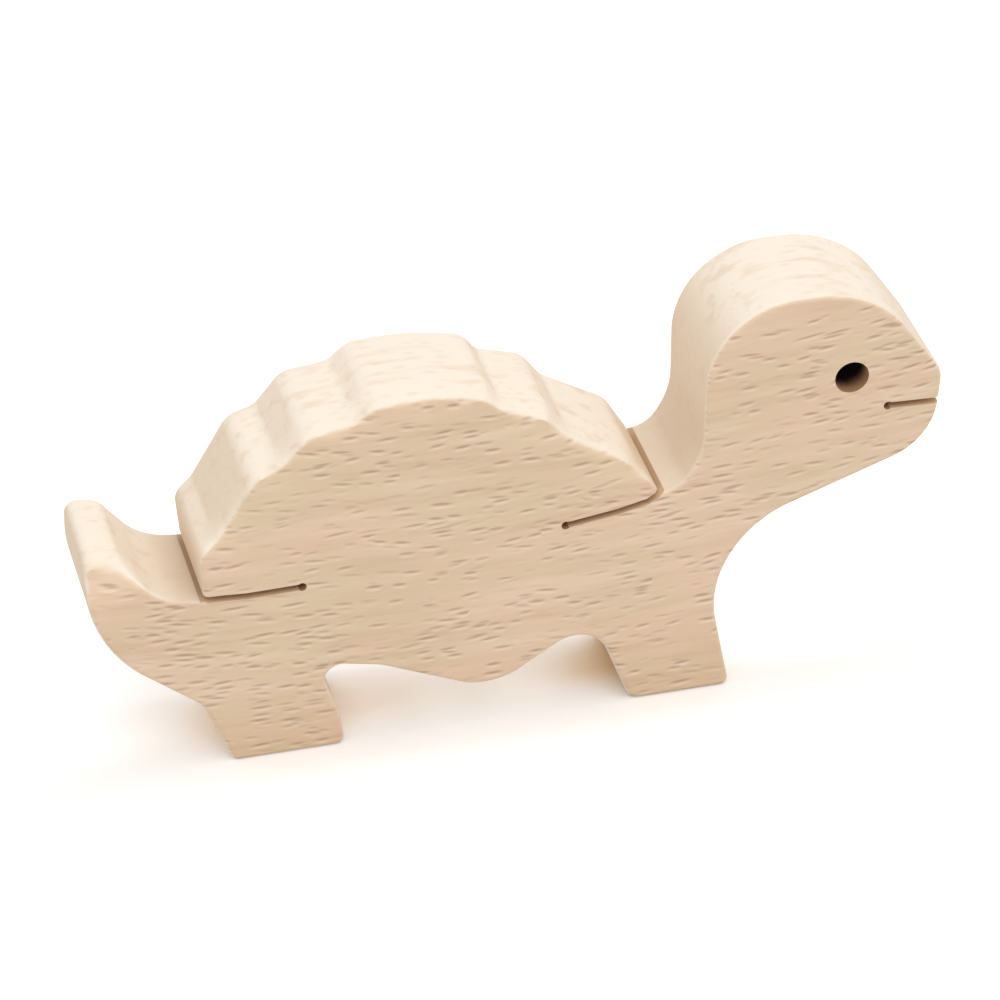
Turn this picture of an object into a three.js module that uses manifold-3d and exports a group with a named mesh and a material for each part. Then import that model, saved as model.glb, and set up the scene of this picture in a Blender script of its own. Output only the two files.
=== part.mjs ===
// Wooden turtle figure: one flat board sawn to a turtle's outline, with every arris eased by sanding.
// A scalloped edge tops the shell, two stopped saw kerfs mark the shell off from the body,
// a short kerf is the mouth and a drilled hole is the eye.
// The turtle faces +X, its flat faces look along -Y and +Y, and its soles rest on z = 0. Millimetres.

import * as THREE from 'three';
import { mergeVertices } from 'three/addons/utils/BufferGeometryUtils.js';
import Module from 'manifold-3d';

// Board and tools
const boardThickness = 18;
const arrisRadius = 0.8;
const kerfWidth = 1;
const kerfStopDiameter = 1.3;
const eyeDiameter = 5;

// Feet and the belly between them, measured along the soles from the heel of the rear foot
const rearFootLength = 16.3;
const bellyLength = 42.4;
const frontFootLength = 15.1;
const soleCornerExtra = 0.3;
const frontHeelExtra = 1;

// Rear leg, rump and tail
const hockSetback = 4.1;
const hockHeight = 10.3;
const hockRadius = 5;
const rumpSetback = 20.2;
const rumpHeight = 23.2;
const rumpRadius = 21;
const tailTipSetback = 19.7;
const tailTipHeight = 37;
const tailTipRadius = 1.6;
const tailTopLength = 4.7;
const tailTopDrop = 0.8;
const tailTopRadius = 2.5;
const tailHollowSetback = 9.1;
const tailHollowHeight = 28.95;
const tailHollowRadius = 10;
const shinSetback = 0.5;
const shinHeight = 4.5;
const shinRadius = 10;
const groinSetback = 3.7;
const groinHeight = 14.6;
const groinRadius = 2.3;

// Belly, measured from the toe of the rear foot
const flankReach = 5.4;
const flankHeight = 12.7;
const flankRadius = 10;
const keelReach = 21.5;
const keelHeight = 5.6;
const keelRadius = 10;

// Front leg and chest, measured back from the heel and the toe of the front foot
const armpitSetback = 5.7;
const armpitHeight = 15.1;
const armpitRadius = 5;
const chestSetback = 4.9;
const chestHeight = 25.5;
const chestRadius = 16.5;

// Shell: its rear seat behind the rear heel, its front seat behind the front toe, and the scallops of its
// edge. Each rises from its seat by flanks, which end in shoulders, and crests, which end in valleys.
const rearSeatSetback = 3.1;
const rearSeatHeight = 28.3;
const rearSkirtRun = 0.9;
const rearSkirtRise = 7.2;
const rearCrest1Run = 2.6;
const rearCrest1Rise = 2.6;
const rearFlank2Run = 5.4;
const rearFlank2Rise = 9.3;
const rearCrest2Run = 3.8;
const rearCrest2Rise = 1;
const rearFlank3Run = 4.1;
const rearFlank3Rise = 5;
const rearCrest3Run = 6.6;
const rearCrest3Rise = 0.7;
const rearFlank4Run = 3.1;
const rearFlank4Rise = 2.7;
const frontSeatSetback = 11.2;
const frontSeatRise = 7.2;
const frontSkirtRun = 3.6;
const frontSkirtRise = 6;
const frontCrest1Run = 9.4;
const frontCrest1Rise = 5.4;
const frontFlank2Run = 3;
const frontFlank2Rise = 4;
const frontCrest2Run = 6.4;
const frontCrest2Rise = 1.8;
const frontFlank3Run = 2.3;
const frontFlank3Rise = 2.8;
const topRise = 0.9;
const shoulderRadius = 3;
const valleyRadius = 1.6;
const topRadius = 30;

// Neck and head, walked on from the shell's front seat
const neckFootLength = 2.8;
const neckFootRadius = 4.8;
const napeRun = 3.5;
const napeRise = 5.8;
const napeRadius = 12;
const headHeight = 64.6;
const headBackRadius = 13.3;
const crownLength = 24.5;
const browRadius = 17;
const browRun = 10.7;
const browDrop = 15.3;
const noseRadius = 5;
const faceDrop = 11.5;
const faceSetback = 1;
const chinRadius = 9.7;

// Eye and mouth, measured from the nose corner
const eyeSetback = 13.7;
const eyeRise = 1.2;
const mouthDrop = 4.7;
const mouthRise = 0.3;
const mouthLength = 8.1;

// Shell kerfs: where each one opens at its seat, bends under the shell and stops
const rearKerfMouthReach = 0.9;
const rearKerfRise = 0.25;
const rearKerfLength = 13.7;
const frontKerfMouthReach = 1.2;
const frontKerfMouthRise = 1;
const frontKerfBendReach = 1.8;
const frontKerfBendDrop = 1;
const frontKerfLength = 13.8;
const frontKerfDrop = 3.1;

// Facets
const chordError = 0.025;
const chordErrorShare = 0.2;
const weldDistance = 0.0001;
const arrisSteps = 3;
const kerfSteps = 12;
const holeSides = 32;
const cutMargin = 1;

// A corner of the outline and the radius that rounds it
function corner(x, z, radius = 0) {
  return { at: new THREE.Vector2(x, z), radius };
}

// The next corner, a run and a rise away from the last one
function step(from, [run, rise], radius = 0) {
  return corner(from.at.x + run, from.at.y + rise, radius);
}

const rearToe = rearFootLength;
const frontHeel = rearToe + bellyLength;
const frontToe = frontHeel + frontFootLength;
const soleCornerRadius = arrisRadius + soleCornerExtra;
const rearSeat = corner(-rearSeatSetback, rearSeatHeight);
const frontSeat = corner(frontToe - frontSeatSetback, rearSeatHeight + frontSeatRise);

// One side of the shell's edge, from its seat up to the shoulder of the top scallop
function scallops(seat, stretches) {
  const corners = [seat];
  stretches.forEach((stretch, i) => {
    const radius = i % 2 === 0 ? shoulderRadius : valleyRadius;
    corners.push(step(corners.at(-1), stretch, radius));
  });
  return corners;
}

// The shell's edge, from the rear seat over the top to the front seat
function shellCorners() {
  const rear = scallops(rearSeat, [
    [-rearSkirtRun, rearSkirtRise],
    [rearCrest1Run, rearCrest1Rise],
    [rearFlank2Run, rearFlank2Rise],
    [rearCrest2Run, rearCrest2Rise],
    [rearFlank3Run, rearFlank3Rise],
    [rearCrest3Run, rearCrest3Rise],
    [rearFlank4Run, rearFlank4Rise],
  ]);
  const front = scallops(frontSeat, [
    [-frontSkirtRun, frontSkirtRise],
    [-frontCrest1Run, frontCrest1Rise],
    [-frontFlank2Run, frontFlank2Rise],
    [-frontCrest2Run, frontCrest2Rise],
    [-frontFlank3Run, frontFlank3Rise],
  ]);
  const middle = rear.at(-1).at.clone().add(front.at(-1).at).divideScalar(2);
  const top = corner(middle.x, middle.y + topRise, topRadius);
  return [...rear, top, ...front.reverse()];
}

// Nape, head, nose and chin
function headCorners() {
  const neckFoot = step(frontSeat, [neckFootLength, 0], neckFootRadius);
  const nape = step(neckFoot, [napeRun, napeRise], napeRadius);
  const headBack = corner(nape.at.x, headHeight, headBackRadius);
  const brow = step(headBack, [crownLength, 0], browRadius);
  const nose = step(brow, [browRun, -browDrop], noseRadius);
  const chin = step(nose, [-faceSetback, -faceDrop], chinRadius);
  return { nose, corners: [neckFoot, nape, headBack, brow, nose, chin] };
}

// Chest, front foot, belly, rear foot, rump and tail, walked back to the shell's rear seat
function undersideCorners() {
  const tailTip = corner(-tailTipSetback, tailTipHeight, tailTipRadius);
  return [
    corner(frontToe - chestSetback, chestHeight, chestRadius),
    corner(frontToe, 0, soleCornerRadius),
    corner(frontHeel, 0, soleCornerRadius + frontHeelExtra),
    corner(frontHeel - armpitSetback, armpitHeight, armpitRadius),
    corner(rearToe + keelReach, keelHeight, keelRadius),
    corner(rearToe + flankReach, flankHeight, flankRadius),
    corner(rearToe - groinSetback, groinHeight, groinRadius),
    corner(rearToe - shinSetback, shinHeight, shinRadius),
    corner(rearToe, 0, soleCornerRadius),
    corner(0, 0, soleCornerRadius),
    corner(-hockSetback, hockHeight, hockRadius),
    corner(-rumpSetback, rumpHeight, rumpRadius),
    tailTip,
    step(tailTip, [tailTopLength, -tailTopDrop], tailTopRadius),
    corner(-tailHollowSetback, tailHollowHeight, tailHollowRadius),
  ];
}

// Points of the closed outline: straight edges joined by an arc at each corner that has a radius.
// Two arcs that would overrun the edge between them are both shortened to share it.
function roundedOutline(corners) {
  const count = corners.length;
  const bends = corners.map(({ at, radius }, i) => {
    const back = corners.at(i - 1).at.clone().sub(at);
    const ahead = corners[(i + 1) % count].at.clone().sub(at);
    const half = Math.acos(back.dot(ahead) / (back.length() * ahead.length())) / 2;
    return { at, radius, half, ahead: ahead.length(), back, out: ahead, reach: radius / Math.tan(half) };
  });
  bends.forEach((bend, i) => {
    const next = bends[(i + 1) % count];
    const share = Math.min(1, bend.ahead / (bend.reach + next.reach));
    bend.shareAhead = share;
    next.shareBack = share;
  });
  return bends.flatMap((bend) => {
    const radius = bend.radius * Math.min(bend.shareAhead, bend.shareBack);
    if (radius === 0) return [bend.at];
    const inward = bend.back.clone().normalize().add(bend.out.clone().normalize()).normalize();
    const centre = bend.at.clone().addScaledVector(inward, radius / Math.sin(bend.half));
    const start = bend.at.clone().addScaledVector(bend.back.clone().normalize(), radius / Math.tan(bend.half));
    const end = bend.at.clone().addScaledVector(bend.out.clone().normalize(), radius / Math.tan(bend.half));
    const from = start.sub(centre).angle();
    const to = end.sub(centre).angle();
    const clockwise = bend.back.cross(bend.out) > 0;
    const arc = new THREE.EllipseCurve(centre.x, centre.y, radius, radius, from, to, clockwise);
    const turn = Math.PI - 2 * bend.half;
    const facetTurn = 2 * Math.acos(1 - Math.min(chordError / radius, chordErrorShare));
    return arc.getPoints(Math.max(2, Math.ceil(turn / facetTurn)));
  });
}

// A flat shape in the x-z plane, given its thickness along y about the middle of the board
function slab(points, depth, bevel = {}) {
  const geometry = new THREE.ExtrudeGeometry(new THREE.Shape(points), {
    depth,
    steps: 1,
    bevelEnabled: false,
    ...bevel,
  });
  geometry.translate(0, 0, -depth / 2);
  return geometry.rotateX(Math.PI / 2);
}

// The slot of a saw blade along a curve
function kerfSlab(curve) {
  const sides = [[], []];
  for (let i = 0; i <= kerfSteps; i += 1) {
    const at = curve.getPoint(i / kerfSteps);
    const along = curve.getTangent(i / kerfSteps);
    const across = new THREE.Vector2(-along.y, along.x).multiplyScalar(kerfWidth / 2);
    sides[0].push(at.clone().add(across));
    sides[1].unshift(at.clone().sub(across));
  }
  return slab(sides.flat(), boardThickness + 2 * cutMargin);
}

// A hole drilled straight through the board
function drilled({ at }, diameter) {
  const length = boardThickness + 2 * cutMargin;
  return new THREE.CylinderGeometry(diameter / 2, diameter / 2, length, holeSides).translate(at.x, 0, at.y);
}

// A kerf from outside the outline to its stop, with the wider spot where the blade turned back
function stoppedKerf(seat, path) {
  const stops = path.map((run) => step(seat, run));
  const curve = new THREE.SplineCurve(stops.map(({ at }) => at));
  return [kerfSlab(curve), drilled(stops.at(-1), kerfStopDiameter)];
}

const wasm = await Module();
wasm.setup();

function toSolid(geometry) {
  const bare = geometry.clone();
  bare.deleteAttribute('normal');
  bare.deleteAttribute('uv');
  const merged = mergeVertices(bare, weldDistance);
  return new wasm.Manifold(new wasm.Mesh({
    numProp: 3,
    vertProperties: new Float32Array(merged.attributes.position.array),
    triVerts: new Uint32Array(merged.index.array),
  }));
}

function toGeometry(solid) {
  const mesh = solid.getMesh();
  const geometry = new THREE.BufferGeometry();
  geometry.setAttribute('position', new THREE.BufferAttribute(mesh.vertProperties, 3));
  geometry.setIndex(new THREE.BufferAttribute(mesh.triVerts, 1));
  geometry.computeVertexNormals();
  return geometry;
}

// Outline of the whole figure
const head = headCorners();
const outline = roundedOutline([...shellCorners(), ...head.corners, ...undersideCorners()]);

// The blank: the outline through the board, its arrises rounded within the board's thickness
const blank = slab(outline, boardThickness - 2 * arrisRadius, {
  bevelEnabled: true,
  bevelThickness: arrisRadius,
  bevelSize: arrisRadius,
  bevelOffset: -arrisRadius,
  bevelSegments: arrisSteps,
});

// The cuts: a kerf under each end of the shell, the mouth and the eye
const rearKerf = stoppedKerf(rearSeat, [
  [-rearKerfMouthReach, rearKerfRise],
  [rearKerfLength, rearKerfRise],
]);
const frontKerf = stoppedKerf(frontSeat, [
  [frontKerfMouthReach, frontKerfMouthRise],
  [-frontKerfBendReach, -frontKerfBendDrop],
  [-frontKerfLength, -frontKerfDrop],
]);
const mouth = stoppedKerf(head.nose, [
  [cutMargin, -mouthDrop],
  [-mouthLength, mouthRise - mouthDrop],
]);
const eye = drilled(step(head.nose, [-eyeSetback, eyeRise]), eyeDiameter);

let figure = toSolid(blank);
for (const cut of [...rearKerf, ...frontKerf, ...mouth, eye]) {
  figure = figure.subtract(toSolid(cut));
}

// One piece of wood, centred over its length
const wood = new THREE.MeshStandardMaterial({ color: 0xdcc1a2, roughness: 0.7, metalness: 0 });
const turtle = new THREE.Mesh(toGeometry(figure), wood);
turtle.name = 'turtle_figure';
turtle.geometry.computeBoundingBox();
const { min, max } = turtle.geometry.boundingBox;
turtle.position.x = -(min.x + max.x) / 2;

const group = new THREE.Group();
group.add(turtle);

export default group;
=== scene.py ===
# %% [markdown]
# # A wooden turtle, sawn from one board
# The real turtle is a single piece of pale beech, 18 mm thick. It was sawn to an outline, its
# edges were eased with sandpaper, two saw cuts mark the shell off from the body, a short cut is
# the mouth and a drilled hole is the eye. The lesson makes it in the same order: trace, saw,
# ease, sand, cut, drill, and then the wood itself.
#
# The frame comes first. It holds the measured model that this turtle has to fit. Blender counts
# in metres and the lesson in millimetres, and two places nearer than a hundredth of a millimetre
# count as one.

# %% Load the frame
import bmesh
import bpy
import math
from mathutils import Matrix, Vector


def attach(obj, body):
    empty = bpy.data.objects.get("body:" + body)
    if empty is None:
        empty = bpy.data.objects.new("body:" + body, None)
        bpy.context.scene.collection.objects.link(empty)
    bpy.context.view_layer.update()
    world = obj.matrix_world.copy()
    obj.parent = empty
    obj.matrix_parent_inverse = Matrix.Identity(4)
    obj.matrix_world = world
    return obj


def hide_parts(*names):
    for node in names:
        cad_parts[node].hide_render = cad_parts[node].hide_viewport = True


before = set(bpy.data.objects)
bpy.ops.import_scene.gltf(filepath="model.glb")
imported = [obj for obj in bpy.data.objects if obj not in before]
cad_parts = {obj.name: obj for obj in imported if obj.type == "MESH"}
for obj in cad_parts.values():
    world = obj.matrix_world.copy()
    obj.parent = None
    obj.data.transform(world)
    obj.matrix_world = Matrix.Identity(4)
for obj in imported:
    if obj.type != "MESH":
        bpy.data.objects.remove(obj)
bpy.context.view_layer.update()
MM = 0.001
NEAR = 0.01
print("frame nodes:", sorted(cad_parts))

# %% [markdown]
# ## The drawing on the board
# A maker draws the turtle on the board before sawing: straight lines from corner to corner, and
# a curve at each corner. The same drawing is a list here. Every corner has its place along the
# board, its height above the soles and the radius of its curve, in millimetres. The board lies
# upright, so a drawn point (along, up) is (along, y, up) in space.

# %% Corners of the outline
BOARD = 18.0
shell_edge = [
    (-45.4, 28.30, 0), (-46.06, 35.50, 3), (-43.46, 38.10, 3), (-38.06, 47.40, 4),
    (-34.26, 48.40, 3), (-30.16, 53.40, 4), (-23.56, 54.10, 3), (-20.46, 56.80, 4),
    (-12.31, 57.05, 30), (-4.16, 55.50, 3.5), (-1.86, 52.70, 2.5), (4.54, 50.90, 4),
    (7.54, 46.90, 3), (16.94, 41.50, 4), (20.54, 35.50, 0),
]
neck_and_head = [
    (23.34, 35.50, 4.8), (26.84, 41.30, 12), (26.84, 64.60, 13.3), (51.34, 64.60, 17),
    (62.01, 49.30, 5), (61.04, 37.80, 9.7),
]
front_leg = [(26.84, 25.50, 16.5), (31.74, 0, 1.1), (16.64, 0, 2.1), (10.94, 15.10, 5)]
belly = [(-4.26, 5.60, 10), (-20.36, 12.70, 10)]
rear_leg = [
    (-29.46, 14.60, 2.3), (-26.26, 4.50, 10), (-25.76, 0, 1.1), (-42.06, 0, 1.1),
    (-46.16, 10.30, 5),
]
tail = [(-62.2, 23.20, 21), (-61.76, 37.00, 1.8), (-57.06, 36.20, 3), (-51.16, 28.95, 10)]
drawing = shell_edge + neck_and_head + front_leg + belly + rear_leg + tail
print("corners on the drawing:", len(drawing))

# %% [markdown]
# ## Tracing it
# There is no primitive with this outline, so the smallest one is taken, a plane, and merged to a
# single point on the first corner. Extruding that point from corner to corner follows the
# drawing as a pencil would, and one face fills the loop.

# %% Trace the drawing
def on_board(along, up):
    return Vector((along * MM, -BOARD / 2 * MM, up * MM))


def start_piece(name):
    bpy.ops.object.transform_apply(location=True, rotation=True, scale=True)
    piece = bpy.context.active_object
    piece.name = name
    piece.data.name = name
    bpy.ops.object.mode_set(mode="EDIT")
    return piece


def trace(points):
    bpy.ops.mesh.select_mode(type="VERT")
    bpy.ops.mesh.select_all(action="SELECT")
    bpy.ops.mesh.merge(type="CENTER")
    for here, there in zip(points, points[1:]):
        bpy.ops.mesh.extrude_vertices_move(TRANSFORM_OT_translate={"value": there - here})
    bpy.ops.mesh.select_all(action="SELECT")


bpy.ops.object.select_all(action="DESELECT")
places = [on_board(along, up) for along, up, radius in drawing]
bpy.ops.mesh.primitive_plane_add(size=MM, location=places[0])
turtle = start_piece("turtle")
trace(places)
bpy.ops.mesh.edge_face_add()
bpy.ops.object.mode_set(mode="OBJECT")
print("traced:", len(turtle.data.vertices), "points,", len(turtle.data.polygons), "face")

# %% [markdown]
# ## Rounding the corners
# A vertex bevel cuts a corner back by the same reach along both of its edges. For a curve of
# radius r in a corner of half angle h, the reach is r / tan(h). The bevel's own curve is only a
# true circle in a square corner, so its profile is set from the angle too: that puts the middle
# of the curve on the circle in every corner. Longer curves get more steps, and small ones get a
# few more than their length alone would give them.

# %% Round every corner by its radius
STEPS_PER_MM = 2.2
FEWEST_STEPS = 4
ADDED_RADIUS = 3


def corner_shape(before, here, after, radius):
    half = (before - here).angle(after - here) / 2
    reach = radius * MM / math.tan(half)
    profile = ((1 + 2 * math.sin(half)) / (2 + 2 * math.sin(half))) ** 2
    length = (math.pi - 2 * half) * (ADDED_RADIUS + radius)
    return reach, profile, max(FEWEST_STEPS, round(length * STEPS_PER_MM))


def pick_points(piece, wanted):
    points = bmesh.from_edit_mesh(piece.data)
    points.select_mode = {"VERT"}
    for vert in points.verts:
        vert.select_set(wanted(vert.co))
    points.select_flush_mode()
    bmesh.update_edit_mesh(piece.data)


bpy.ops.object.mode_set(mode="EDIT")
bpy.ops.mesh.select_mode(type="VERT")
for i, (along, up, radius) in enumerate(drawing):
    if radius:
        here = places[i]
        after = places[(i + 1) % len(places)]
        reach, profile, steps = corner_shape(places[i - 1], here, after, radius)
        pick_points(turtle, lambda co: (co - here).length < NEAR * MM)
        bpy.ops.mesh.bevel(offset_type="ABSOLUTE", offset=reach, profile=profile, segments=steps,
                           affect="VERTICES", clamp_overlap=False)
bpy.ops.object.mode_set(mode="OBJECT")
print("rounded outline:", len(turtle.data.vertices), "points")

# %% [markdown]
# ## Sawing it out
# Extruding the face through the board's thickness is the saw going round the drawing. The front
# stays where the drawing was and the back comes out behind it.

# %% Saw out the blank
bpy.ops.object.mode_set(mode="EDIT")
bpy.ops.mesh.select_all(action="SELECT")
bpy.ops.mesh.extrude_region_move(TRANSFORM_OT_translate={"value": (0, BOARD * MM, 0)})
bpy.ops.mesh.select_all(action="SELECT")
bpy.ops.mesh.normals_make_consistent(inside=False)
bpy.ops.object.mode_set(mode="OBJECT")
print("blank:", [round(side / MM, 2) for side in turtle.dimensions], "mm")

# %% [markdown]
# ## Easing the arrises
# Where a flat face meets the sawn edge there is an arris, and sandpaper takes it off in a small
# round. The edges lying in the two flat faces are picked by their place and beveled.

# %% Ease both rims
ARRIS = 0.8
ARRIS_STEPS = 5


def pick_edges(piece, wanted):
    edges = bmesh.from_edit_mesh(piece.data)
    edges.select_mode = {"EDGE"}
    for edge in edges.edges:
        edge.select_set(all(wanted(vert.co) for vert in edge.verts))
    edges.select_flush_mode()
    bmesh.update_edit_mesh(piece.data)


bpy.ops.object.mode_set(mode="EDIT")
bpy.ops.mesh.select_mode(type="EDGE")
for side in (-1, 1):
    pick_edges(turtle, lambda co: abs(co.y - side * BOARD / 2 * MM) < NEAR * MM)
    bpy.ops.mesh.bevel(offset=ARRIS * MM, segments=ARRIS_STEPS, profile=0.5, affect="EDGES",
                       clamp_overlap=False)
bpy.ops.object.mode_set(mode="OBJECT")
print("eased blank:", len(turtle.data.polygons), "faces")

# %% [markdown]
# ## The rubbed tip of the tail
# The front corner of the tail's tip is worn back much further than the other arrises, and so
# softly that the flat face rolls over into the ridge. A big flat face has no points there to
# move, so the skin of the tail is first cut into small patches by planes. Then the tip of the
# front rim is pushed back and down, and proportional editing takes the wood around it along. At
# the end a smooth modifier sands the corner fair, fully near the tip and less further away.

# %% Cut the tail's skin into patches
TAIL_ROOT = -50.0
ALONG, THROUGH, UP = (1, 0, 0), (0, 1, 0), (0, 0, 1)


def cut_plane(direction, place):
    bpy.ops.mesh.bisect(plane_co=Vector(direction) * place * MM, plane_no=direction)


def cut_patches(piece, wanted, planes):
    for direction, places in planes:
        for place in places:
            pick_points(piece, wanted)
            cut_plane(direction, place)


bpy.ops.object.mode_set(mode="EDIT")
bpy.ops.mesh.select_mode(type="VERT")
bpy.ops.mesh.select_all(action="SELECT")
cut_plane(ALONG, TAIL_ROOT)
cut_patches(turtle, lambda co: co.x < (TAIL_ROOT + NEAR) * MM, [
    (ALONG, (-51.2, -52.4, -53.6, -54.8, -56, -57.1, -58.1, -59.1, -60.1, -61.1)),
    (THROUGH, (-8, -7, -6, -5, -4, -3, -1.5, 0)),
    (UP, (26.2, 27.4, 28.6, 29.8, 31, 32, 33, 34, 35, 36)),
])
bpy.ops.object.mode_set(mode="OBJECT")
print("tail in patches:", len(turtle.data.polygons), "faces")

# %% Rub the corner back
TAIL_TIP = on_board(-60, 36.6)
TIP_REACH = 2.6
RUBBED_BACK = 2.6
RUBBED_DOWN = 1.5
RUB_REACH = 6.5


def by_tip(co, reach):
    return (co - TAIL_TIP).length < reach * MM


def on_front_arris(co):
    return NEAR < co.y / MM + BOARD / 2 < ARRIS + NEAR


bpy.ops.object.mode_set(mode="EDIT")
pick_points(turtle, lambda co: on_front_arris(co) and by_tip(co, TIP_REACH))
bpy.ops.transform.translate(
    value=(0, RUBBED_BACK * MM, -RUBBED_DOWN * MM), use_proportional_edit=True,
    proportional_edit_falloff="SHARP", proportional_size=RUB_REACH * MM)
bpy.ops.object.mode_set(mode="OBJECT")
print("rubbed back", RUBBED_BACK, "mm and down", RUBBED_DOWN, "mm")

# %% Sand the corner fair
TAIL_ROUNDS = 90
SAND_FACTOR = 0.5


def sand(piece, wanted, shares, rounds):
    bpy.ops.object.vertex_group_add()
    bpy.ops.object.mode_set(mode="EDIT")
    for reach, share in shares:
        pick_points(piece, lambda co: wanted(co, reach))
        bpy.context.scene.tool_settings.vertex_group_weight = share
        bpy.ops.object.vertex_group_assign()
    bpy.ops.object.mode_set(mode="OBJECT")
    bpy.ops.object.modifier_add(type="SMOOTH")
    sanding = piece.modifiers[-1]
    sanding.vertex_group = piece.vertex_groups[0].name
    sanding.factor = SAND_FACTOR
    sanding.iterations = rounds
    bpy.ops.object.modifier_apply(modifier=sanding.name)
    bpy.ops.object.vertex_group_remove(all=True)


sand(turtle, by_tip, ((7, 0.2), (6, 0.5), (5, 1)), TAIL_ROUNDS)
print("sanded tail:", [round(side / MM, 2) for side in turtle.dimensions], "mm")

# %% [markdown]
# ## The softened scallops
# On the front the sandpaper also ran along the scallops of the shell and took their tips down, so
# that the front face ends in a much smoother line than the back does. The front of the shell is
# cut into patches in the same way, and the same sanding levels it along the rim, fully at the
# front face and less further in. It takes most from the tips, because they stand out furthest
# from their neighbours.

# %% Cut the shell's front into patches
SHELL_REAR, SHELL_END = -47.0, 21.0
SHELL_FOOT = 33.0
SHELL_FRONT = -3.0
PATCH = 1.5


def on_shell_front(co):
    return (SHELL_REAR * MM < co.x < (SHELL_END + NEAR) * MM
            and co.y < (SHELL_FRONT + NEAR) * MM and co.z > (SHELL_FOOT - NEAR) * MM)


bpy.ops.object.mode_set(mode="EDIT")
bpy.ops.mesh.select_mode(type="VERT")
for direction, place in ((UP, SHELL_FOOT), (ALONG, SHELL_END), (THROUGH, SHELL_FRONT)):
    bpy.ops.mesh.select_all(action="SELECT")
    cut_plane(direction, place)
cut_patches(turtle, on_shell_front, [
    (THROUGH, (-7.4, -6.5, -5.5, -4.3)),
    (ALONG, [-45 + PATCH * step for step in range(44)]),
    (UP, [34.5 + PATCH * step for step in range(15)]),
])
bpy.ops.object.mode_set(mode="OBJECT")
print("shell in patches:", len(turtle.data.polygons), "faces")

# %% Sand the scallops down along the front
SHELL_ROUNDS = 150
SANDED_FROM, SANDED_TO = -44.5, 18.5
SANDED_FOOT = 35.0


def by_front_rim(co, depth):
    return (on_shell_front(co) and co.y < depth * MM and co.z > SANDED_FOOT * MM
            and SANDED_FROM * MM < co.x < SANDED_TO * MM)


sand(turtle, by_front_rim, ((-4, 0.3), (-5, 0.6), (-6, 1)), SHELL_ROUNDS)
print("sanded shell:", [round(side / MM, 2) for side in turtle.dimensions], "mm")

# %% [markdown]
# ## The saw cuts and the eye
# A saw blade leaves a slot as wide as its teeth, and a drill leaves a round hole. Each cutter is
# made as a solid of its own, and a boolean takes it away from the blank. The saw is a traced
# path, drawn out through the board and thickened to the blade's width. The cutters carry their
# own finish, and the boolean passes it on to the walls of the cut: raw where the saw went, and
# brown where the drill went. Both are painted darker deeper in, as painted shade inside the cut.

# %% The finishes that the cutters carry
beech = bpy.data.materials.new("beech")
raw_cut = bpy.data.materials.new("raw_cut")
# This finish paints the drilled holes brown at the rim and nearly black deeper in, as painted
# shade.
shaded_hole = bpy.data.materials.new("shaded_hole")
turtle.data.materials.append(beech)


def cut_away(cutter, finish):
    cutter.data.materials.append(finish)
    bpy.ops.object.select_all(action="DESELECT")
    turtle.select_set(True)
    bpy.context.view_layer.objects.active = turtle
    bpy.ops.object.modifier_add(type="BOOLEAN")
    cut = turtle.modifiers[-1]
    cut.operation = "DIFFERENCE"
    cut.solver = "EXACT"
    cut.material_mode = "TRANSFER"
    cut.object = cutter
    bpy.ops.object.modifier_apply(modifier=cut.name)
    bpy.data.objects.remove(cutter, do_unlink=True)


print("finishes:", beech.name, raw_cut.name, shaded_hole.name)

# %% A drill and a saw
KERF = 1.0
KERF_STOP = 1.3
PAST = 1.0
HOLE_SIDES = 48


def drill(along, up, diameter):
    bpy.ops.object.select_all(action="DESELECT")
    bpy.ops.mesh.primitive_cylinder_add(
        vertices=HOLE_SIDES, radius=diameter / 2 * MM, depth=(BOARD + 2 * PAST) * MM,
        location=(along * MM, 0, up * MM), rotation=(math.pi / 2, 0, 0))
    cut_away(bpy.context.active_object, shaded_hole)


def saw(path):
    bpy.ops.object.select_all(action="DESELECT")
    points = [on_board(along, up) - Vector((0, PAST * MM, 0)) for along, up in path]
    bpy.ops.mesh.primitive_plane_add(size=MM, location=points[0])
    blade = start_piece("blade")
    trace(points)
    through = (0, (BOARD + 2 * PAST) * MM, 0)
    bpy.ops.mesh.extrude_region_move(TRANSFORM_OT_translate={"value": through})
    bpy.ops.object.mode_set(mode="OBJECT")
    bpy.ops.object.modifier_add(type="SOLIDIFY")
    blade.modifiers[-1].thickness = KERF * MM
    blade.modifiers[-1].offset = 0
    bpy.ops.object.modifier_apply(modifier=blade.modifiers[-1].name)
    bpy.ops.object.mode_set(mode="EDIT")
    bpy.ops.mesh.select_all(action="SELECT")
    bpy.ops.mesh.normals_make_consistent(inside=False)
    bpy.ops.object.mode_set(mode="OBJECT")
    cut_away(blade, raw_cut)
    drill(*path[-1], KERF_STOP)


print("blade", KERF, "mm wide, turning in", KERF_STOP, "mm")

# %% Cut the shell lines, the mouth and the eye
EYE = 5.0
rear_shell_line = [
    (-45.95, 28.70), (-42.9, 28.58), (-39.4, 28.36), (-34.9, 28.44), (-31.46, 28.52),
]
front_shell_line = [
    (22.1, 36.75), (21.1, 36.0), (20.1, 35.3), (18.7, 34.44), (14.3, 33.43), (6.74, 32.36),
]
mouth_line = [(63.04, 44.52), (53.94, 44.86)]
for line in (rear_shell_line, front_shell_line, mouth_line):
    saw(line)
drill(48.34, 50.50, EYE)
print("cut turtle:", len(turtle.data.polygons), "faces,", len(turtle.data.materials), "finishes")

# %% [markdown]
# ## Smooth to the touch
# Curves are shaded smooth and real edges stay crisp: everything flatter than 30 degrees is
# blended. Weighted normals keep the big flat faces flat up to their rims.

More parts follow.
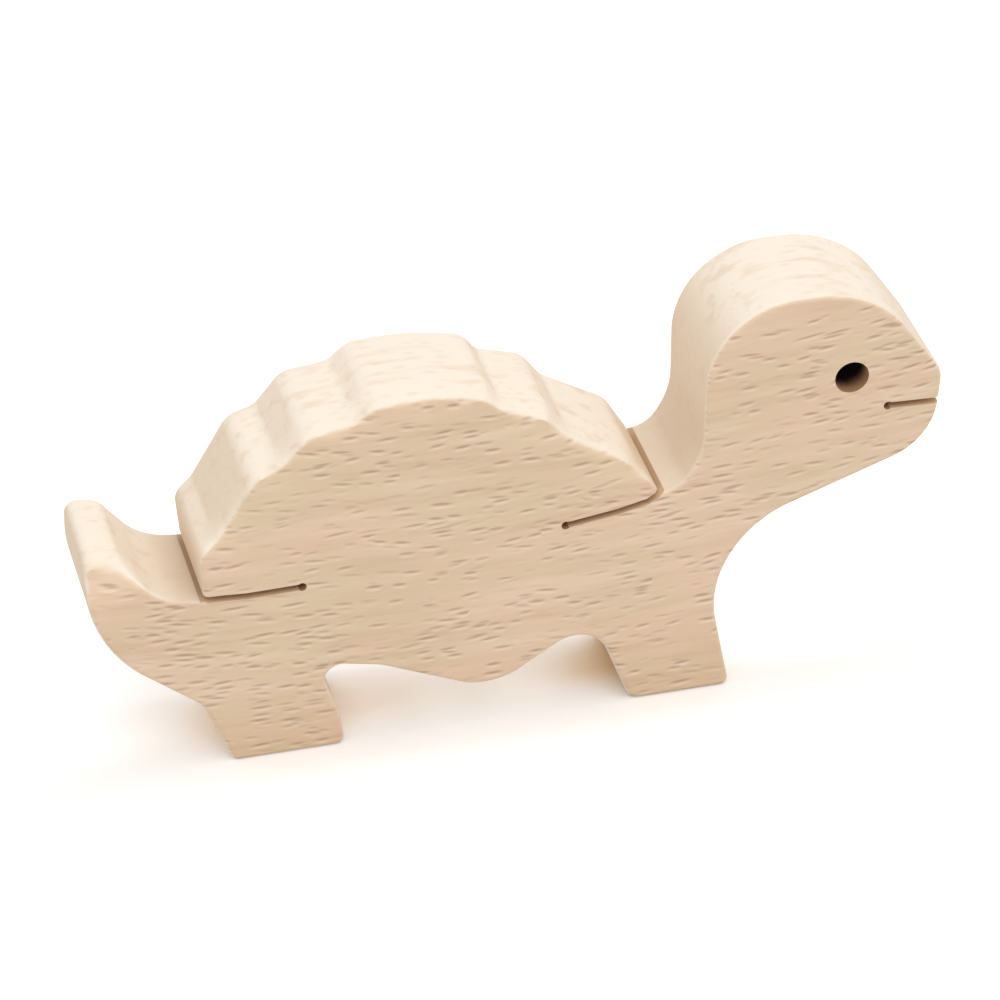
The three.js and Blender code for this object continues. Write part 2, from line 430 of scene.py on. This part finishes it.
# %% Shade the turtle
CREASE = math.radians(30)
WELD = 0.002
bpy.ops.object.select_all(action="DESELECT")
turtle.select_set(True)
bpy.context.view_layer.objects.active = turtle
bpy.ops.object.mode_set(mode="EDIT")
bpy.ops.mesh.select_all(action="SELECT")
bpy.ops.mesh.remove_doubles(threshold=WELD * MM)
bpy.ops.mesh.normals_make_consistent(inside=False)
bpy.ops.object.mode_set(mode="OBJECT")
bpy.ops.object.shade_smooth_by_angle(angle=CREASE)
bpy.ops.object.modifier_add(type="WEIGHTED_NORMAL")
turtle.modifiers[-1].keep_sharp = True
bpy.ops.object.modifier_apply(modifier=turtle.modifiers[-1].name)


def volume_and_gaps(piece):
    shape = bmesh.new()
    shape.from_mesh(piece.data)
    gaps = sum(1 for edge in shape.edges if not edge.is_manifold)
    cubic_cm = shape.calc_volume() * 1e6
    shape.free()
    return cubic_cm, gaps


print("volume %.2f cm3, open edges %d" % volume_and_gaps(turtle))
print("size:", [round(side / MM, 2) for side in turtle.dimensions], "mm")

# %% [markdown]
# ## Writing sums on sockets
# A wood pattern is a sum of many small effects. Node trees are hard to read as code, so one
# class wraps a socket: plus, minus and times on it add Math nodes, its node method adds any other
# kind of node, and its other method gives another output of the same node.

# %% A socket that can be reckoned with
class Wire:
    def __init__(self, tree, socket=None):
        self.tree = tree
        self.socket = socket

    def node(self, kind, settings, sockets, output=0):
        made = self.tree.nodes.new(kind)
        for name, value in settings.items():
            setattr(made, name, value)
        for name, value in sockets.items():
            if isinstance(value, Wire):
                self.tree.links.new(value.socket, made.inputs[name])
            else:
                made.inputs[name].default_value = value
        return Wire(self.tree, made.outputs[output] if made.outputs else None)

    def other(self, output):
        return Wire(self.tree, self.socket.node.outputs[output])

    def reckon(self, operation, *values):
        return self.node("ShaderNodeMath", {"operation": operation}, dict(enumerate(values)))

    def __add__(self, value):
        return self.reckon("ADD", self, value)

    def __radd__(self, value):
        return self.reckon("ADD", value, self)

    def __sub__(self, value):
        return self.reckon("SUBTRACT", self, value)

    def __rsub__(self, value):
        return self.reckon("SUBTRACT", value, self)

    def __mul__(self, value):
        return self.reckon("MULTIPLY", self, value)

    def __rmul__(self, value):
        return self.reckon("MULTIPLY", value, self)


print("sums ready:", [name for name in vars(Wire) if name.startswith("__r")])

# %% [markdown]
# ## Words for wood
# A few helpers keep the finishes short to read: a soft step from one value to another, a blend
# of two colours, a noise that is stretched along the grain, and colours written as on a paint
# chart from 0 to 255. One more tells what the camera sees, straight or in a gloss, from what only
# gives light to other things.

# %% Helpers for the finishes
def bare(holder):
    holder.use_nodes = True
    holder.node_tree.nodes.clear()
    return Wire(holder.node_tree)


def finish(shader, kind="ShaderNodeOutputMaterial"):
    shader.node(kind, {}, {"Surface": shader})


def millimetres(wire):
    place = wire.node("ShaderNodeTexCoord", {}, {}, "Object")
    parts = wire.node("ShaderNodeSeparateXYZ", {}, {0: place})
    return tuple(parts.other(axis) * (1 / MM) for axis in "XYZ")


def fade(value, start, end):
    return value.node("ShaderNodeMapRange", {"interpolation_type": "SMOOTHSTEP"},
                      {"Value": value, "From Min": start, "From Max": end})


def mix(under, over, share):
    return share.node("ShaderNodeMix", {"data_type": "RGBA"}, {0: share, 6: under, 7: over}, 2)


def stretch(place, per_mm):
    along, through, up = (part * count for part, count in zip(place, per_mm))
    return along.node("ShaderNodeCombineXYZ", {}, {0: along, 1: through, 2: up})


def noise(place, per_mm, detail):
    pattern = stretch(place, per_mm)
    return pattern.node("ShaderNodeTexNoise", {},
                        {"Vector": pattern, "Scale": 1, "Detail": detail})


def seen_by_camera(wire):
    ray = wire.node("ShaderNodeLightPath", {}, {}, "Is Camera Ray")
    rays = ray + ray.other("Is Glossy Ray") + ray.other("Is Transmission Ray")
    return wire.reckon("MINIMUM", rays, 1)


def colour(*chart):
    parts = [part / 255 for part in chart]
    return (*(p / 12.92 if p <= 0.04045 else ((p + 0.055) / 1.055) ** 2.4 for p in parts), 1)


print("helpers ready, mid grey is", round(colour(128, 128, 128)[0], 3))

# %% [markdown]
# ## The grain of the beech
# Beech is pale pinkish tan, and its rays show as short dark dashes along the grain, with paler
# flecks among them. The pattern is a solid one: it is read in millimetres inside the board, so a
# dash on a face goes on into the wood. The fibres run along the board, sag a little towards the
# tail and lift towards the head, so the height that the pattern reads is bent to match. The
# dashes sit one to a cell, and the rows of cells are jogged along the grain so that they don't
# line up.

# %% Fibres, dashes and patches
SAG = 0.0007
LIFT = 0.015
SWAY = 1.5
JOG = 14
DASH_PER_MM = (0.28, 0.8, 1.35)
wood = bare(beech)
along, through, up = millimetres(wood)
sway = noise((along, through, up), (0.05, 0.03, 0.06), 1)
grain = up - along * along * SAG - along * LIFT + sway * SWAY


def dashes(shift, size):
    jogged = along + JOG * noise((along, through, grain + shift), (0.03, 0.1, 0.45), 0)
    cells = wood.node("ShaderNodeTexVoronoi", {"feature": "F1"}, {
        "Vector": stretch((jogged, through, grain + shift), DASH_PER_MM), "Scale": 1})
    strength = wood.node("ShaderNodeSeparateColor", {}, {0: cells.other("Color")})
    return fade(cells, size, 0.12) * fade(strength, 0.1, 0.8)


dark_dash = dashes(0, 0.5)
pale_dash = dashes(0.5, 0.55)
fibres = noise((along, through, grain), (0.18, 2, 3), 3)
streaks = noise((along, through, grain), (0.05, 0.4, 0.6), 2)
patches = noise((along, through, grain), (0.05, 0.08, 0.13), 1)
print("grain nodes:", len(wood.tree.nodes))

# %% [markdown]
# ## Face and edge
# The flat faces are the warm planed wood. The sawn edges were sanded paler, most where they show
# the side of the fibres and least where they show their ends; on the tops, where the side of the
# fibres shows, the near white is partly a painted highlight from the light above. The arris
# between face and edge is worn a little paler still, partly a painted highlight along it. Which is
# which is told by the direction that the surface looks in. In the corners that the shell makes
# with the neck and with the tail the edge is painted in a darker tone near that of the faces, as
# painted shade in those hollows. Down by the feet the faces are painted a little darker, as
# painted shade near the floor.

# %% A palette for the beech
PLANED, PLANED_PATCH = colour(230, 200, 171), colour(225, 200, 168)
PALE_STREAK, DARK_STREAK = colour(240, 216, 190), colour(206, 174, 142)
PALE_DASH, DARK_DASH = colour(246, 224, 200), colour(138, 100, 70)
# The darker colour by the feet is painted shade near the floor.
SHADE_BY_FEET = colour(214, 180, 146)
# The pale side-grain colour is partly sanded wood and partly a painted highlight on the tops.
FIBRE_SIDE_AND_HIGHLIGHT, FIBRE_END = colour(247, 234, 216), colour(233, 211, 185)
EDGE_STREAK, EDGE_DASH = colour(226, 200, 172), colour(190, 156, 122)
# The corner colour is painted shade in the hollows by the neck and by the tail.
CORNER_SHADE = colour(224, 204, 178)
# The pale arris colour is partly wear and partly a painted highlight.
WORN_ARRIS_AND_HIGHLIGHT = colour(246, 228, 206)
print("planed wood:", [round(part, 3) for part in PLANED[:3]])

# %% The colours of the beech
facing = wood.node("ShaderNodeNewGeometry", {}, {}, "Normal")
facing = wood.node("ShaderNodeSeparateXYZ", {}, {0: facing})
flat = facing.other("Y") * facing.other("Y")
fibre_ends = facing.other("X") * facing.other("X")
on_edge = fade(flat, 0.7, 0.15)
on_arris = fade(flat, 0.97, 0.7) * fade(flat, 0.05, 0.3)

face = mix(PLANED, PLANED_PATCH, fade(patches, 0.35, 0.65))
face = mix(face, PALE_STREAK, fade(streaks, 0.45, 0.8) * 0.5)
face = mix(face, DARK_STREAK, fade(streaks, 0.5, 0.2) * 0.4)
# Painted shade: the faces get darker towards the soles.
face = mix(face, SHADE_BY_FEET, fade(up, 15, 0) * 0.45)
face = mix(face, PALE_DASH, pale_dash * 0.5)
face = mix(face, DARK_DASH, dark_dash * 0.45)
# Partly painted highlight: the side-grain edges, which face up on the tops, are near white.
edge = mix(FIBRE_SIDE_AND_HIGHLIGHT, FIBRE_END, fade(fibre_ends, 0.2, 1))
edge = mix(edge, EDGE_STREAK, fade(streaks, 0.5, 0.25) * 0.5)
edge = mix(edge, EDGE_DASH, dark_dash * (0.14 - 0.14 * fibre_ends))
# Painted shade: the edge goes darker in the hollows by the neck and by the tail.
neck_hollow_shade = fade(along, 12, 22) * fade(along, 34, 27) * fade(up, 50, 38)
tail_hollow_shade = fade(along, -54.5, -47.5) * fade(along, -43, -44.5) * fade(up, 37, 31)
edge = mix(edge, CORNER_SHADE, neck_hollow_shade * 0.6 + tail_hollow_shade * 0.85)
shown = mix(face, edge, on_edge)
# The arris is painted a little paler, partly wear and partly a painted highlight.
shown = mix(shown, WORN_ARRIS_AND_HIGHLIGHT, on_arris * 0.06)
print("colour nodes:", len(wood.tree.nodes))

# %% The surface of the beech
RELIEF = 0.1
relief = wood.node("ShaderNodeBump", {}, {
    "Height": fibres - dark_dash * 0.3, "Strength": 0.2, "Distance": RELIEF * MM})
finish(wood.node("ShaderNodeBsdfPrincipled", {}, {
    "Base Color": shown, "Roughness": 0.6 + 0.12 * fibres - 0.08 * on_arris,
    "Normal": relief, "Specular IOR Level": 0.3}))
print("beech nodes:", len(wood.tree.nodes))

# %% [markdown]
# ## Inside the cuts
# The walls of a saw cut are raw wood. Near the faces they are nearly as pale as the face, and
# deeper in they are painted a little browner, as painted shade inside the slot. The eye and the
# other drilled holes have a brown rim and are painted almost black behind it, as painted shade.
# Both finishes read how deep a wall lies from the nearer face of the board.

# %% The walls of the cuts
def depth_finish(material, rim, deep, rim_depth, full_depth):
    wall = bare(material)
    along, through, up = millimetres(wall)
    depth = BOARD / 2 - wall.reckon("ABSOLUTE", through)
    scores = noise((along, through, up), (1.5, 0.2, 1.5), 2)
    tone = mix(rim, deep, fade(depth + scores - 0.5, rim_depth, full_depth))
    finish(wall.node("ShaderNodeBsdfPrincipled", {}, {
        "Base Color": tone, "Roughness": 0.75 + 0.15 * scores, "Specular IOR Level": 0.2}))
    print(material.name, "nodes:", len(wall.tree.nodes))


# The browner deep colour of the saw cuts is painted shade inside the slot.
RAW_RIM, RAW_DEEP_SHADE = colour(216, 184, 150), colour(202, 167, 133)
# The near-black deep colour of the holes is painted shade deep in the hole.
HOLE_RIM, HOLE_SHADE = colour(176, 136, 102), colour(36, 18, 10)
depth_finish(raw_cut, RAW_RIM, RAW_DEEP_SHADE, 0.8, 3)
depth_finish(shaded_hole, HOLE_RIM, HOLE_SHADE, 0.8, 3.8)

# %% [markdown]
# ## The floor
# The turtle stands on a sheet of white paper. To the camera the paper is bright enough to go
# white wherever the light reaches it, so only the shade close under the turtle is left. On top of
# that, light and shade are painted on the paper by place: under the belly it is painted brighter
# than in front, as painted light from behind, in front a faint warm painted shade is left, and
# under the tail there is less painted light. Close by the legs a brown painted shade stands for
# the wood's colour in the shade, and an occlusion node finds those places. To every other ray it
# is an ordinary pale floor, so the turtle gets no more light from it than from real paper.

# %% The shade on the paper
OPEN_PAPER = (0.56, 0.56, 0.56, 1)
SHADE_IN_FRONT = (0.52, 0.508, 0.5, 1)
LIT_FROM_BEHIND = (0.75, 0.735, 0.73, 1)
BROWN_SHADE = (0.42, 0.25, 0.08, 1)
paper = bpy.data.materials.new("white_paper")
sheet = bare(paper)
open_sky = sheet.node("ShaderNodeAmbientOcclusion", {"samples": 8}, {"Distance": 25 * MM}, "AO")
along, through = millimetres(sheet)[:2]
by_legs = fade(along, -1, 12) + 0.8 * fade(along, -9, -17)
under_tail = fade(along, -38, -46)
# Painted light: the paper under the belly is painted brighter towards the back.
behind = fade(through - 1.5 * by_legs, -10, 0.5) * (1 - 0.4 * under_tail)
brown = by_legs * fade(open_sky, 0.45, 0.04) * fade(through, -9, 0)
tint = mix(OPEN_PAPER, SHADE_IN_FRONT, fade(through, -18, -11))
tint = mix(tint, LIT_FROM_BEHIND, behind)
tint = mix(tint, BROWN_SHADE, brown)
print("shade nodes:", len(sheet.tree.nodes))

# %% Lay the floor
FLOOR_SIZE = 6
PALE_FLOOR = (0.8, 0.8, 0.8, 1)
plain = sheet.node("ShaderNodeBsdfDiffuse", {}, {"Color": PALE_FLOOR})
bright = sheet.node("ShaderNodeBsdfDiffuse", {}, {"Color": tint})
bright = sheet.node("ShaderNodeAddShader", {}, {0: bright, 1: bright})
finish(sheet.node("ShaderNodeMixShader", {}, {0: seen_by_camera(sheet), 1: plain, 2: bright}))
bpy.ops.object.select_all(action="DESELECT")
bpy.ops.mesh.primitive_plane_add(size=FLOOR_SIZE, location=(0, 0, 0))
floor = bpy.context.active_object
floor.name = "floor"
floor.data.materials.append(paper)
print("floor:", [round(side, 2) for side in floor.dimensions], "m")

# %% [markdown]
# ## The light
# A white room gives most of the light, and one large soft lamp above and in front gives the tops
# a little more than the sides. Together they light a surface at about its own colour.

# %% Light the room
ROOM_LIGHT = 0.75
LAMP_PLACE = (0.08, -0.4, 1.1)
LAMP_AIM = Vector((0, 0, 0.03))
LAMP_SIZE = 1.4
LAMP_WATTS = 6
world = bpy.data.worlds.new("white_room")
bpy.context.scene.world = world
room = bare(world)
glow = room.node("ShaderNodeBackground", {}, {
    "Color": (1, 1, 1, 1), "Strength": ROOM_LIGHT + (1 - ROOM_LIGHT) * seen_by_camera(room)})
finish(glow, "ShaderNodeOutputWorld")
bpy.ops.object.light_add(type="AREA", location=LAMP_PLACE)
lamp = bpy.context.active_object
lamp.name = "soft_box"
lamp.data.shape = "DISK"
lamp.data.size = LAMP_SIZE
lamp.data.energy = LAMP_WATTS
lamp.rotation_euler = (LAMP_AIM - lamp.location).to_track_quat("-Z", "Y").to_euler()
print("room:", ROOM_LIGHT, "lamp:", LAMP_WATTS, "W")

# %% [markdown]
# ## The camera
# The picture was taken from the turtle's right side, a little from behind and a good third of the
# way up, with a long lens. The camera is placed by its turn round the turtle, its rise above the
# floor and its distance, and then slid up and sideways until the turtle sits in the frame as in
# the picture.

# %% Set up the camera
TURNED = math.radians(-14.5425)
RAISED = math.radians(34.1614)
AWAY = 694.32
SLID_UP = 26.45
SLID_RIGHT = -0.53
LENS = 171
SENSOR = 36
NEAREST = 0.05
back = Vector((math.sin(TURNED) * math.cos(RAISED), -math.cos(TURNED) * math.cos(RAISED),
               math.sin(RAISED)))
right = Vector((math.cos(TURNED), math.sin(TURNED), 0))
above = back.cross(right)
stand = (back * AWAY + above * SLID_UP + right * SLID_RIGHT) * MM
bpy.ops.object.camera_add(location=stand, rotation=back.to_track_quat("Z", "Y").to_euler())
camera = bpy.context.active_object
camera.data.lens = LENS
camera.data.sensor_width = SENSOR
camera.data.clip_start = NEAREST
bpy.context.scene.camera = camera
bpy.context.scene.view_settings.view_transform = "Standard"
print("camera:", [round(c, 4) for c in camera.location])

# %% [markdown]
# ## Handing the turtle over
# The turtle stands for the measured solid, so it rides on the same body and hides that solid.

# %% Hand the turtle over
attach(turtle, "root")
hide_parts("turtle_figure")
